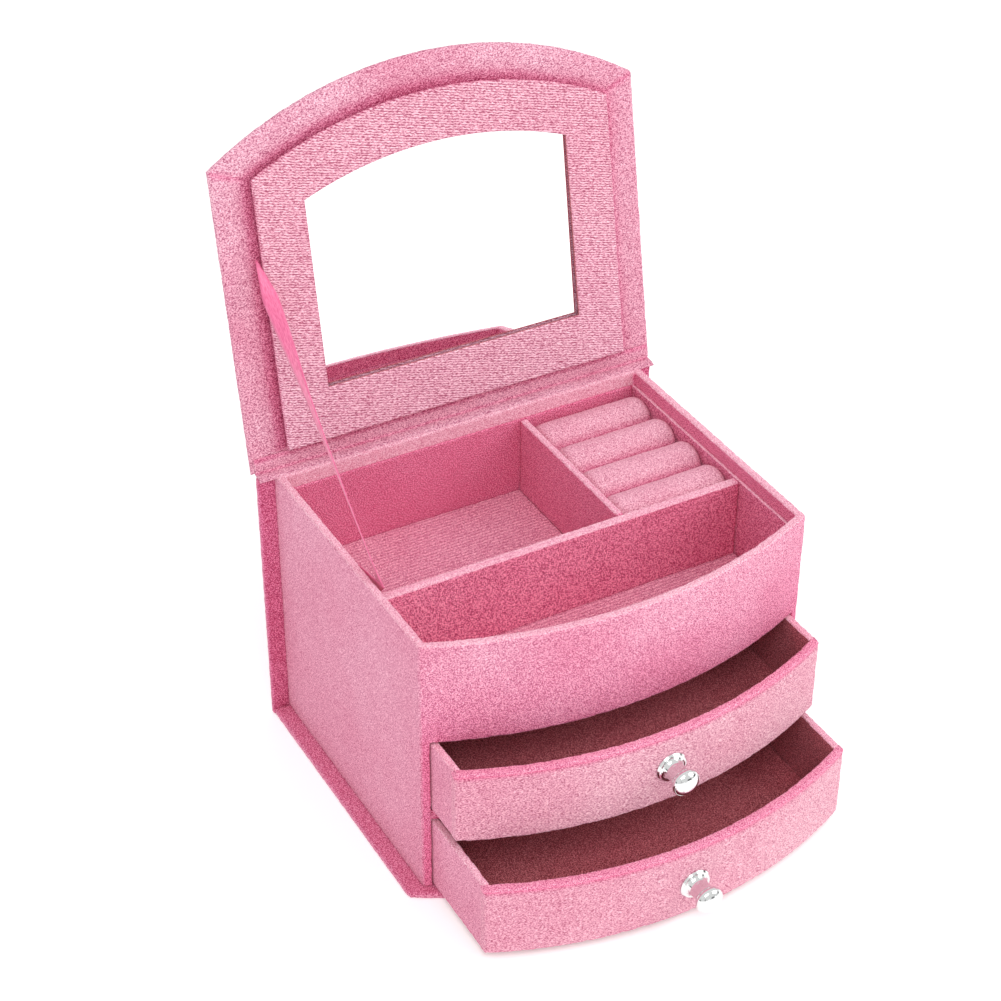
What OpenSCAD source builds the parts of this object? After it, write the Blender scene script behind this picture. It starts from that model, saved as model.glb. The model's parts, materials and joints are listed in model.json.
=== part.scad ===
// Velvet jewellery chest: a bow-fronted box with a ring cushion and two tray compartments under a
// mirrored lid, above two bow-fronted drawers. Three covered boards (base, back and lid) wrap the
// box like a book cover. Shown as it stands in use: lid open and both drawers part open.
// Millimetres, +Z up, front towards -Y. The origin is on the underside of the base board, under
// the middle of the side walls' depth.

/* [Chest body] */
// Width over the side walls
body_w = 160; // [156:1:170]
// Depth of the side walls at their front corners
side_depth = 117.5; // [116:0.5:130]
// How far the front bulges past its corners
front_bow = 17.5; // [15:0.5:19]
// Height of the body above the base board
body_h = 112.8; // [111:0.2:125]
// Thickness of a covered wall board
wall_t = 3.3; // [3:0.1:3.6]
// Thickness of the board between the drawers
shelf_t = 4; // [3:0.5:5]

/* [Top tray] */
// Depth of the tray from the rim to its lined floor
tray_depth = 38.8; // [36:0.2:40]
// How far the liners stay below the rim
liner_drop = 5.8; // [5.6:0.1:8]
// Thickness of the thin liners on the walls
liner_t = 1.2; // [1:0.1:1.5]
// Distance from the back of the body to the front face of the cross divider
cross_divider_at = 81.5; // [78:0.5:84]
// Thickness of the cross divider
cross_divider_t = 4; // [3:0.5:5]
// Left face of the side divider, from the middle
side_divider_x = 23.5; // [10:0.5:28]
// Thickness of the side divider
side_divider_t = 3; // [2:0.5:4]
// Number of rolls in the ring cushion
ring_rolls = 4; // [4]

/* [Wrapper boards] */
// Thickness of the base board
base_t = 2.8; // [2:0.1:4]
// Overhang of the base board past each side
base_over = 6.2; // [5:0.1:8]
// Thickness of the back board
back_t = 2.9; // [2.5:0.1:3.5]
// Overhang of the back board past each side
back_over = 6.5; // [5:0.1:8]
// Thickness of the lid board
lid_t = 2.6; // [2:0.1:4]
// Overhang of the lid board past each side
lid_over = 7.6; // [6:0.1:8]
// Length of the lid board at its corners
lid_len = 118.5; // [117:0.5:124]
// How far the front edges of the lid and base boards bulge
board_bow = 25.5; // [24:0.5:27]

/* [Lid] */
// Angle between the open lid and the closed position
lid_open = 100.5; // [70:0.5:105]
// Height of the inner panel above the lid board
panel_rise = 5; // [4:0.1:5.2]
// Width of the inner panel
panel_w = 148; // [140:1:150]
// Width of the mirror opening
mirror_w = 108.6; // [90:0.2:114]
// Height of the mirror opening at its corners
mirror_h = 73.2; // [60:0.2:78]
// How far the top of the mirror opening arches
mirror_arch = 10; // [5:0.5:14]

/* [Drawers] */
// How far the upper drawer stands open
upper_open = 19.5; // [0:0.5:90]
// How far the lower drawer stands open
lower_open = 40.5; // [0:0.5:90]
// Thickness of a drawer's side and back boards
drawer_board_t = 3; // [2.5:0.1:4]
// How far the upper knob sits to the right of the middle of its drawer front
upper_knob_shift = 1.2; // [0:0.1:2]
// Drop of the lower knob below the middle of its drawer front
lower_knob_drop = 2.2; // [0:0.1:4]

/* [Knobs] */
// Diameter of a knob's head
knob_d = 10.8; // [9:0.1:12.4]
// Thickness of a knob's head
knob_head_t = 6.4; // [5:0.1:7]
// Distance from the drawer front to the tip of the knob
knob_reach = 12.7; // [12:0.1:16]
// Diameter of the round plate behind a knob
rosette_d = 12.4; // [10:0.1:16]

/* [Ribbon] */
// Width of the ribbon stay
ribbon_w = 6; // [4:0.5:8]
// Thickness of the ribbon
ribbon_t = 0.3; // [0.2:0.05:0.5]

/* [Hidden] */
$fn = 96;

// Colours of the covering: outside, shaded inside, and the satin ribbon
velvet = [0.91, 0.52, 0.65];
deep_velvet = [0.80, 0.36, 0.50];
satin = [0.93, 0.45, 0.62];
chrome = [0.88, 0.88, 0.90];

// Heights
rim_z = base_t + body_h;
liner_top = rim_z - liner_drop;
lining_t = 1.5;
tray_board_t = 3;
tray_top = rim_z - tray_depth - lining_t;
tray_bottom = tray_top - tray_board_t;
bay_h = (tray_bottom - base_t - shelf_t) / 2;
shelf_z = base_t + bay_h;

// Plan of the body
half_w = body_w / 2;
inner_w = half_w - wall_t;
tray_w = inner_w - liner_t;
back_y = side_depth / 2;
inner_back = back_y - wall_t;
corner_y = -side_depth / 2;
front_r = bow_radius(half_w, front_bow);
front_centre = corner_y - front_bow + front_r;
divider_y = back_y - cross_divider_at;
ring_x = side_divider_x + side_divider_t;
ring_front = divider_y + cross_divider_t;
ring_back = inner_back - liner_t;
soft_gap = 0.2;

// Lid: laid out closed, u measured from the hinge line towards the front
lid_gap = 0.2;
hinge_y = back_y + back_t;
hinge_z = rim_z + lid_gap;
panel_back = 7.1;
panel_len = 107;
panel_bow = 17.5;
face_t = 1.4;
core_t = panel_rise - face_t;
mirror_t = 2;
mirror_back = 28.5;
mirror_lap = 3;
cloth_t = 0.4;
cloth_run = 6.4;

// Drawers
drawer_gap = 0.7;
drawer_h = bay_h - 2 * drawer_gap;
drawer_front_w = inner_w - 0.2;
drawer_front_r = bow_radius(drawer_front_w, front_bow);
drawer_front_centre = corner_y - front_bow + drawer_front_r;
drawer_side_w = drawer_front_w - 0.2;
drawer_inner_w = drawer_side_w - drawer_board_t;
drawer_back_y = inner_back - 1.5;
drawer_bottom_t = 2;
drawer_lining_t = 1;
upper_z = shelf_z + shelf_t + drawer_gap;
lower_z = base_t + drawer_gap;
rosette_t = 1.1;
screw_r = 1.5;

// Ribbon: leaves the lid at ribbon_u, reaches the left wall at ribbon_foot, and its tail runs back
// along the wall to ribbon_tail
ribbon_u = 83;
ribbon_x = -panel_w / 2 - 0.8;
ribbon_foot = [-74.6, -21.4, liner_top + 3.4];
ribbon_tail = [-75, 14, liner_top + 1];

// Radius of an arc that spans 2 * half and rises by bow
function bow_radius(half, bow) = (half * half + bow * bow) / (2 * bow);

// ---- Shared outlines and shapes ----

// Plan of a board with a straight back and a bowed front; corner is the y of its front corners
module bow_outline(half, back, corner, bow) {
    r = bow_radius(half, bow);
    intersection() {
        translate([-half, corner - bow]) square([2 * half, back - corner + bow]);
        translate([0, corner - bow + r]) circle(r = r);
    }
}

// Part of the plan between two x values, in front of back and inside the body's front arc
module inside_front(x0, x1, back, inset) {
    intersection() {
        translate([x0, corner_y - front_bow]) square([x1 - x0, back - corner_y + front_bow]);
        translate([0, front_centre]) circle(r = front_r - inset);
    }
}

module slab(z0, z1) {
    translate([0, 0, z0]) linear_extrude(height = z1 - z0) children();
}

module block(low, high) {
    translate(low) cube(high - low);
}

// Turns the closed lid up to the angle at which it stands
module lid_pose() {
    translate([0, hinge_y, hinge_z]) rotate([-lid_open, 0, 0]) translate([0, -hinge_y, -hinge_z]) children();
}

// A layer of the closed lid between two distances below the hinge line
module lid_layer(low, high) {
    lid_pose() slab(hinge_z - high, hinge_z - low) children();
}

// ---- Wrapper boards ----

module base_board() {
    color(velvet) slab(0, base_t) bow_outline(half_w + base_over, back_y, corner_y, board_bow);
}

module back_board() {
    w = half_w + back_over;
    color(velvet) block([-w, back_y, 0], [w, back_y + back_t, rim_z - cloth_t]);
}

// ---- Body ----

module side_wall(side) {
    x0 = side > 0 ? inner_w : -half_w;
    color(velvet) slab(base_t, rim_z) inside_front(x0, x0 + wall_t, back_y, 0);
}

module rear_wall() {
    color(velvet) block([-inner_w, inner_back, base_t], [inner_w, back_y, rim_z]);
}

module front_panel() {
    color(velvet) slab(tray_bottom, rim_z) difference() {
        inside_front(-inner_w, inner_w, corner_y + 2 * wall_t, 0);
        translate([0, front_centre]) circle(r = front_r - wall_t);
    }
}

module drawer_shelf() {
    color(deep_velvet) slab(shelf_z, shelf_z + shelf_t)
        inside_front(-inner_w, inner_w, inner_back, 1);
}

module tray_floor() {
    color(deep_velvet) slab(tray_bottom, tray_top) inside_front(-inner_w, inner_w, inner_back, wall_t);
}

// ---- Top tray ----

module side_liner(side) {
    x0 = side > 0 ? tray_w : -inner_w;
    color(deep_velvet) slab(tray_top, liner_top) inside_front(x0, x0 + liner_t, inner_back, wall_t);
}

module rear_liner() {
    color(deep_velvet) block([-tray_w, ring_back, tray_top], [tray_w, inner_back, liner_top]);
}

module front_liner() {
    color(deep_velvet) slab(tray_top, liner_top) difference() {
        inside_front(-tray_w, tray_w, corner_y + 2 * wall_t, wall_t);
        translate([0, front_centre]) circle(r = front_r - wall_t - liner_t);
    }
}

module cross_divider() {
    color(deep_velvet) block([-tray_w, divider_y, tray_top], [tray_w, ring_front, liner_top]);
}

module side_divider() {
    color(deep_velvet) block([side_divider_x, ring_front, tray_top], [ring_x, ring_back, liner_top]);
}

module front_tray_lining() {
    w = tray_w - soft_gap;
    color(deep_velvet) slab(tray_top, tray_top + lining_t)
        inside_front(-w, w, divider_y - soft_gap, wall_t + liner_t + soft_gap);
}

module left_tray_lining() {
    color(deep_velvet) block([-tray_w + soft_gap, ring_front + soft_gap, tray_top],
        [side_divider_x - soft_gap, ring_back - soft_gap, tray_top + lining_t]);
}

// Each roll lies along X, its top just below the top of the divider
roll_pitch = (ring_back - ring_front) / ring_rolls;
roll_r = roll_pitch / 2 - soft_gap;
roll_top = liner_top - 0.3;
roll_end_r = 3.5;

module ring_cushion_base() {
    top = roll_top - 2 * roll_r - soft_gap;
    color(deep_velvet) block([ring_x + soft_gap, ring_front + soft_gap, tray_top],
        [tray_w - soft_gap, ring_back - soft_gap, top]);
}

// A cushion roll with rounded ends
module ring_roll(i) {
    len = tray_w - ring_x - 2 * soft_gap;
    arc = [for (a = [0:15:90]) roll_end_r * [sin(a), 1 - cos(a)]];
    profile = concat(
        [[0, 0]],
        [for (p = arc) [roll_r - roll_end_r + p[0], p[1]]],
        [for (j = [len(arc) - 1:-1:0]) [roll_r - roll_end_r + arc[j][0], len - arc[j][1]]],
        [[0, len]]
    );
    color(velvet)
        translate([ring_x + soft_gap, ring_back - (i - 0.5) * roll_pitch, roll_top - roll_r])
        rotate([90, 0, 90]) rotate_extrude() polygon(profile);
}

// ---- Lid ----

module lid_board() {
    color(velvet) lid_layer(-lid_t, 0) bow_outline(half_w + lid_over, hinge_y, hinge_y - lid_len, board_bow);
}

// Plan of the mirror opening, grown on every side
module mirror_outline(grow) {
    back = hinge_y - mirror_back + grow;
    bow_outline(mirror_w / 2 + grow, back, back - mirror_h - 2 * grow, mirror_arch);
}

module panel_outline() {
    back = hinge_y - panel_back;
    bow_outline(panel_w / 2, back, back - panel_len, panel_bow);
}

module lid_panel_core() {
    color(velvet) lid_layer(0, core_t) difference() {
        panel_outline();
        mirror_outline(mirror_lap + soft_gap);
    }
}

module lid_panel_face() {
    color(velvet) lid_layer(core_t, panel_rise) difference() {
        panel_outline();
        mirror_outline(0);
    }
}

module mirror() {
    color("lightgray") lid_layer(core_t - mirror_t, core_t) mirror_outline(mirror_lap);
}

module mirror_backing() {
    color("dimgray") lid_layer(0, core_t - mirror_t) mirror_outline(mirror_lap);
}

// Cloth over the top of the back board, turned up onto the foot of the open lid; its outline is
// drawn in the Y-Z plane and runs the width of the back board
module hinge_cloth() {
    w = half_w + back_over;
    hinge = [hinge_y, hinge_z];
    up_lid = cloth_run * [-cos(lid_open), sin(lid_open)];
    off_lid = cloth_t * [-sin(lid_open), -cos(lid_open)];
    color(velvet) translate([-w, 0, 0]) rotate([90, 0, 90]) linear_extrude(height = 2 * w) polygon([
        [back_y, rim_z - cloth_t], [hinge_y, rim_z - cloth_t], hinge,
        hinge + up_lid, hinge + up_lid + off_lid, [hinge_y - cloth_t, rim_z], [back_y, rim_z]
    ]);
}

// Ribbon that holds the lid: flat where it leaves the lid, turned on edge lower down
module ribbon_stay() {
    half = ribbon_w / 2;
    color(satin) {
        hull() {
            lid_pose() block([ribbon_x, hinge_y - ribbon_u - half, hinge_z - 1.4],
                [ribbon_x + ribbon_t, hinge_y - ribbon_u + half, hinge_z - 1]);
            translate(ribbon_foot) block([0, -0.2, 0], [ribbon_t, 0.2, ribbon_w / 3]);
        }
        hull() {
            translate(ribbon_foot) block([0, -0.2, 0], [ribbon_t, 0.2, ribbon_w / 3]);
            translate(ribbon_tail) block([0, -0.2, 0], [ribbon_t, 0.2, ribbon_w / 3]);
        }
    }
}

// ---- Drawers ----

// Plan of the inside of a drawer front, between two x values
module inside_drawer(x0, x1, back, inset) {
    intersection() {
        translate([x0, corner_y - front_bow]) square([x1 - x0, back - corner_y + front_bow]);
        translate([0, drawer_front_centre]) circle(r = drawer_front_r - inset);
    }
}

// Along the axis of a knob, which is shift = [right, down] from the middle of its drawer front
module along_knob(z0, shift) {
    translate([shift[0], corner_y - front_bow, z0 + drawer_h / 2 - shift[1]]) rotate([90, 0, 0]) children();
}

module drawer_front(z0, open, shift) {
    color(velvet) translate([0, -open, 0]) difference() {
        slab(z0, z0 + drawer_h) difference() {
            inside_drawer(-drawer_front_w, drawer_front_w, corner_y + 2 * wall_t, 0);
            translate([0, drawer_front_centre]) circle(r = drawer_front_r - wall_t);
        }
        along_knob(z0, shift) translate([0, 0, -2 * wall_t]) cylinder(r = screw_r + 0.1, h = 3 * wall_t);
    }
}

module drawer_side(z0, open, side) {
    x0 = side > 0 ? drawer_inner_w : -drawer_side_w;
    color(deep_velvet) translate([0, -open, 0]) slab(z0, z0 + drawer_h)
        inside_drawer(x0, x0 + drawer_board_t, drawer_back_y, wall_t);
}

module drawer_back(z0, open) {
    color(deep_velvet) translate([0, -open, 0])
        block([-drawer_inner_w, drawer_back_y - drawer_board_t, z0],
            [drawer_inner_w, drawer_back_y, z0 + drawer_h]);
}

module drawer_bottom(z0, open) {
    color(deep_velvet) translate([0, -open, 0]) slab(z0, z0 + drawer_bottom_t)
        inside_drawer(-drawer_inner_w, drawer_inner_w, drawer_back_y - drawer_board_t, wall_t);
}

module drawer_lining(z0, open) {
    w = drawer_inner_w - soft_gap;
    z1 = z0 + drawer_bottom_t;
    color(deep_velvet) translate([0, -open, 0]) slab(z1, z1 + drawer_lining_t)
        inside_drawer(-w, w, drawer_back_y - drawer_board_t - soft_gap, wall_t + soft_gap);
}

// ---- Knobs ----

module knob_rosette(z0, open, shift) {
    color(chrome) translate([0, -open, 0]) along_knob(z0, shift) difference() {
        rotate_extrude() polygon([[0, 0], [rosette_d / 2, 0], [rosette_d / 2, 0.5],
            [rosette_d / 2 - 0.5, rosette_t], [0, rosette_t]]);
        translate([0, 0, -1]) cylinder(r = screw_r + 0.1, h = rosette_t + 2);
    }
}

// A turned knob: a foot that flares like a trumpet, a waist and a flattened ball of a head with a fine
// edge round its front, drilled for its screw
module knob(z0, open, shift) {
    head_r = knob_d / 2;
    foot_r = rosette_d / 2 - 0.9;
    waist_r = 0.68 * head_r;
    foot_h = 3.6;
    half_t = knob_head_t / 2;
    head_z = knob_reach - half_t;
    edge = 0.14;
    start = -acos(waist_r / head_r);
    foot = [for (a = [0:15:90])
        [waist_r + (foot_r - waist_r) * (1 - sin(a)), rosette_t + foot_h * (1 - cos(a))]];
    back = [for (i = [0:8]) let (a = start + (18 - start) * i / 8)
        [head_r * cos(a), head_z + half_t * sin(a)]];
    front = [for (i = [0:10]) let (a = 18 + 72 * i / 10)
        [(head_r - edge) * cos(a), head_z + half_t * sin(a)]];
    color(chrome) translate([0, -open, 0]) along_knob(z0, shift) difference() {
        rotate_extrude() polygon(concat([[0, rosette_t]], foot, back, front));
        translate([0, 0, rosette_t - 1]) cylinder(r = screw_r + 0.05, h = 7.2);
    }
}

// Pan-head screw from inside the drawer, its head just clear of the curved face
module knob_screw(z0, open, shift) {
    head_h = 1.8;
    head_z = -wall_t - head_h - 0.06;
    color("silver") translate([0, -open, 0]) along_knob(z0, shift) {
        translate([0, 0, head_z]) cylinder(r = 2.9, h = head_h);
        translate([0, 0, head_z + head_h / 2]) cylinder(r = screw_r, h = rosette_t + 5.8 - head_z - head_h / 2);
    }
}

// ---- Nodes ----

base_board();
back_board();
side_wall(-1);  // left_wall
side_wall(1);  // right_wall
rear_wall();
front_panel();
drawer_shelf();
tray_floor();
side_liner(-1);  // left_liner
side_liner(1);  // right_liner
rear_liner();
front_liner();
cross_divider();
side_divider();
front_tray_lining();
left_tray_lining();
ring_cushion_base();
for (i = [1:ring_rolls])
    ring_roll(i);
hinge_cloth();
ribbon_stay();
lid_board();
lid_panel_core();
lid_panel_face();
mirror();
mirror_backing();
for (d = [["upper", upper_z, upper_open, [upper_knob_shift, 0]],
    ["lower", lower_z, lower_open, [0, lower_knob_drop]]]) {
    drawer_front(d[1], d[2], d[3]);
    drawer_side(d[1], d[2], -1);
    drawer_side(d[1], d[2], 1);
    drawer_back(d[1], d[2]);
    drawer_bottom(d[1], d[2]);
    drawer_lining(d[1], d[2]);
    knob_rosette(d[1], d[2], d[3]);
    knob(d[1], d[2], d[3]);
    knob_screw(d[1], d[2], d[3]);
}
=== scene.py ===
"""Looks of the velvet jewellery chest: boards in their cloth, ring cushion, ribbon, mirror and knobs."""

import json
import math

import bmesh
import bpy
import numpy as np
from mathutils import Matrix, Vector, noise


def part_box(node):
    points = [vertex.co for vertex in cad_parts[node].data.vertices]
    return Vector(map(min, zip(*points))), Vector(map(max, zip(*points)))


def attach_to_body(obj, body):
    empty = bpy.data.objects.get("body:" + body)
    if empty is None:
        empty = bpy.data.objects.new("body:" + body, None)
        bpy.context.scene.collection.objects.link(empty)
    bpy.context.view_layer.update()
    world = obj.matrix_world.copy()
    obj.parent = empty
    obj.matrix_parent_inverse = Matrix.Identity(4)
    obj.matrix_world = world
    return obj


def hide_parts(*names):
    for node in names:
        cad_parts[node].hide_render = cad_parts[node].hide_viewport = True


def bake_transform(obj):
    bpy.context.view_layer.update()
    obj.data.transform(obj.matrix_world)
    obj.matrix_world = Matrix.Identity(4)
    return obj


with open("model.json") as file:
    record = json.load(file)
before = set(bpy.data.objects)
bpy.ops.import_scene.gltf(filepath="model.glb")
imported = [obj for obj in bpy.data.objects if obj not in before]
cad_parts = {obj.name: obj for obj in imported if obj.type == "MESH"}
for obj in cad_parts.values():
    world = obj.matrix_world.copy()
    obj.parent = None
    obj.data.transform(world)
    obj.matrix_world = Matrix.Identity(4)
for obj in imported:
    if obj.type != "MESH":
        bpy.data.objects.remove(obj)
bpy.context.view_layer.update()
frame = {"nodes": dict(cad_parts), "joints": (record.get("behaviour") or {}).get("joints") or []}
NODES = frame["nodes"]
JOINTS = {j["name"]: j for j in frame["joints"]}

MM = 0.001
STEP = 0.9 * MM  # distance between stations along a covered edge
LEVEL = 1.6 * MM  # distance between levels up a covered board
EDGE_R = 0.8 * MM  # radius of velvet turned over the edge of a wall board
FUZZ = 0.55 * MM  # unevenness of a velvet edge
PROUD = 0.06 * MM  # furthest that pile stands out past its board
SEED = 7  # for noise_vector, whose offsets would otherwise come from the clock

noise.seed_set(SEED)

# ---------------------------------------------------------------- camera and light

# The view: direction and distance from the point that the middle of the picture looks at
VIEW_AZIMUTH = -29.18
VIEW_ELEVATION = 35.46
VIEW_ROLL = 0.24
VIEW_DISTANCE = 0.957
VIEW_TARGET = Vector((29.8, 81.0, 52.1)) * MM
LENS_MM = 82.55
SENSOR_MM = 36
WORLD_STRENGTH = 0.845
FLOOR_SIZE = 6  # metres
FLOOR_GLOW = 0.23  # keeps the floor white in the object's own shade


def make_camera():
    a, e = math.radians(VIEW_AZIMUTH), math.radians(VIEW_ELEVATION)
    back = Vector((math.sin(a) * math.cos(e), -math.cos(a) * math.cos(e), math.sin(e)))
    data = bpy.data.cameras.new("camera")
    data.lens = LENS_MM
    data.sensor_width = SENSOR_MM
    camera = bpy.data.objects.new("camera", data)
    bpy.context.scene.collection.objects.link(camera)
    camera.rotation_mode = "QUATERNION"
    roll = Matrix.Rotation(math.radians(VIEW_ROLL), 4, back)
    level = (-back).to_track_quat("-Z", "Y").to_matrix().to_4x4()
    camera.rotation_quaternion = (roll @ level).to_quaternion()
    camera.location = VIEW_TARGET + back * VIEW_DISTANCE
    bpy.context.scene.camera = camera


def area_light(name, place, target, size, watts):
    data = bpy.data.lights.new(name, "AREA")
    data.shape = "DISK"
    data.size = size
    data.energy = watts
    light = bpy.data.objects.new(name, data)
    bpy.context.scene.collection.objects.link(light)
    light.location = place
    light.rotation_euler = (Vector(target) - Vector(place)).to_track_quat("-Z", "Y").to_euler()


def make_world():
    """White studio air, with a few dark things standing low round the room for polished metal to reflect."""
    world = bpy.data.worlds.new("studio")
    bpy.context.scene.world = world
    world.use_nodes = True
    tree = world.node_tree
    n = Nodes(tree, "Generated")
    height = tree.nodes.new("ShaderNodeSeparateXYZ")
    n.link(n.coords, height.inputs["Vector"])
    low = n.ramp(height.outputs["Z"], [(0.0, (1,) * 3), (0.02, (0,) * 3), (0.16, (0,) * 3), (0.2, (1,) * 3)])
    things = n.ramp(n.noise((2.6, 2.6, 0.4), 1.0, 0.5), [(0.50, (1,) * 3), (0.54, (0,) * 3)])
    colour = n.mix("MIX", n.math("MAXIMUM", low, things), (0.1, 0.1, 0.11, 1), (1, 1, 1, 1))
    background = tree.nodes["Background"]
    n.link(colour, background.inputs["Color"])
    background.inputs["Strength"].default_value = WORLD_STRENGTH


def make_light():
    make_world()
    middle = (0, 0, 0.08)
    area_light("key", (-0.5, -0.9, 1.3), middle, 0.9, 8)
    area_light("fill", (1.1, -0.8, 0.9), middle, 1.0, 7)
    bpy.context.scene.view_settings.view_transform = "Standard"


def make_floor():
    bpy.ops.mesh.primitive_plane_add(size=FLOOR_SIZE)
    floor = bpy.context.object
    floor.name = "floor"
    paper, _, shader = new_material("floor_paper")
    shader.inputs["Base Color"].default_value = (0.93, 0.93, 0.93, 1)
    shader.inputs["Roughness"].default_value = 0.9
    shader.inputs["Emission Color"].default_value = (1, 1, 1, 1)
    shader.inputs["Emission Strength"].default_value = FLOOR_GLOW
    floor.data.materials.append(paper)


# ---------------------------------------------------------------- materials


def srgb(r, g, b):
    """A colour written in 0-255 screen values, as the linear values that shaders take."""
    return tuple((v / 255 / 12.92) if v <= 10 else ((v / 255 + 0.055) / 1.055) ** 2.4 for v in (r, g, b))


def new_material(name):
    material = bpy.data.materials.new(name)
    material.use_nodes = True
    return material, material.node_tree, material.node_tree.nodes["Principled BSDF"]


def plain_material(name, colour, roughness, metallic=0.0):
    material, _, shader = new_material(name)
    shader.inputs["Base Color"].default_value = (*colour, 1)
    shader.inputs["Roughness"].default_value = roughness
    shader.inputs["Metallic"].default_value = metallic
    return material


class Nodes:
    """Short calls for building one material's node tree."""

    def __init__(self, tree, coordinates="Object"):
        self.tree = tree
        self.coords = tree.nodes.new("ShaderNodeTexCoord").outputs[coordinates]

    def link(self, a, b):
        self.tree.links.new(a, b)

    def noise(self, per_metre, detail=3.0, rough=0.6, turn=0.0):
        """Noise with that many grains per metre along X, Y and Z. Uneven grain is turned by an angle about Y;
        even grain is set askew, so that no flat board lies along one of its layers."""
        mapping = self.tree.nodes.new("ShaderNodeMapping")
        mapping.vector_type = "TEXTURE"
        mapping.inputs["Scale"].default_value = tuple(1 / g for g in per_metre)
        even = len(set(per_metre)) == 1
        mapping.inputs["Rotation"].default_value = (0.4, 0.7, 0.2) if even else (0, math.radians(turn), 0)
        mapping.inputs["Location"].default_value = (0.11 * MM, 0.14 * MM, 0.17 * MM)
        self.link(self.coords, mapping.inputs["Vector"])
        texture = self.tree.nodes.new("ShaderNodeTexNoise")
        texture.inputs["Scale"].default_value = 1
        texture.inputs["Detail"].default_value = detail
        texture.inputs["Roughness"].default_value = rough
        self.link(mapping.outputs["Vector"], texture.inputs["Vector"])
        return texture.outputs["Fac"]

    def bands(self, axis, pitch, waver, turn=0.0):
        """Wavering bands across an axis, a pitch apart, turned by an angle about Y."""
        mapping = self.tree.nodes.new("ShaderNodeMapping")
        mapping.vector_type = "TEXTURE"
        mapping.inputs["Rotation"].default_value = (0, math.radians(turn), 0)
        self.link(self.coords, mapping.inputs["Vector"])
        wave = self.tree.nodes.new("ShaderNodeTexWave")
        wave.bands_direction = axis
        wave.inputs["Scale"].default_value = 2 * math.pi / (20 * pitch)
        wave.inputs["Distortion"].default_value = waver
        wave.inputs["Detail"].default_value = 1
        wave.inputs["Detail Scale"].default_value = 2
        self.link(mapping.outputs["Vector"], wave.inputs["Vector"])
        return wave.outputs["Fac"]

    def ramp(self, value, stops):
        node = self.tree.nodes.new("ShaderNodeValToRGB")
        elements = node.color_ramp.elements
        while len(elements) < len(stops):
            elements.new(0.5)
        for element, (place, colour) in zip(elements, stops):
            element.position = place
            element.color = (*colour, 1)
        self.link(value, node.inputs["Fac"])
        return node.outputs["Color"]

    def math(self, kind, a, b):
        node = self.tree.nodes.new("ShaderNodeMath")
        node.operation = kind
        for socket, value in zip(node.inputs, (a, b)):
            if isinstance(value, (int, float)):
                socket.default_value = value
            else:
                self.link(value, socket)
        return node.outputs["Value"]

    def mix(self, kind, factor, a, b):
        node = self.tree.nodes.new("ShaderNodeMix")
        node.data_type = "RGBA"
        node.blend_type = kind
        for name, value in (("Factor", factor), ("A", a), ("B", b)):
            socket = next(s for s in node.inputs if s.name == name and s.enabled)
            if isinstance(value, (int, float, tuple)):
                socket.default_value = value
            else:
                self.link(value, socket)
        return next(s for s in node.outputs if s.enabled)

    def bump(self, height, strength, distance, shader):
        node = self.tree.nodes.new("ShaderNodeBump")
        node.inputs["Strength"].default_value = strength
        node.inputs["Distance"].default_value = distance
        self.link(height, node.inputs["Height"])
        self.link(node.outputs["Normal"], shader.inputs["Normal"])


ROW_WEIGHT = 0.16  # how far the rows of a woven cloth show
PILE_HEIGHT = 0.25 * MM
PAINTED_SHADE_ATTRIBUTE = "fold"  # mesh attribute, 0 to 1: painted shade, how far a point of the cloth is darkened in a crease, fold or corner
# Painted shade: from the cloth's own colour to deep pink.
PAINTED_SHADE_RAMP = [(0.0, (1.0, 1.0, 1.0)), (0.5, (0.95, 0.60, 0.75)), (1.0, (0.70, 0.24, 0.42))]


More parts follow.
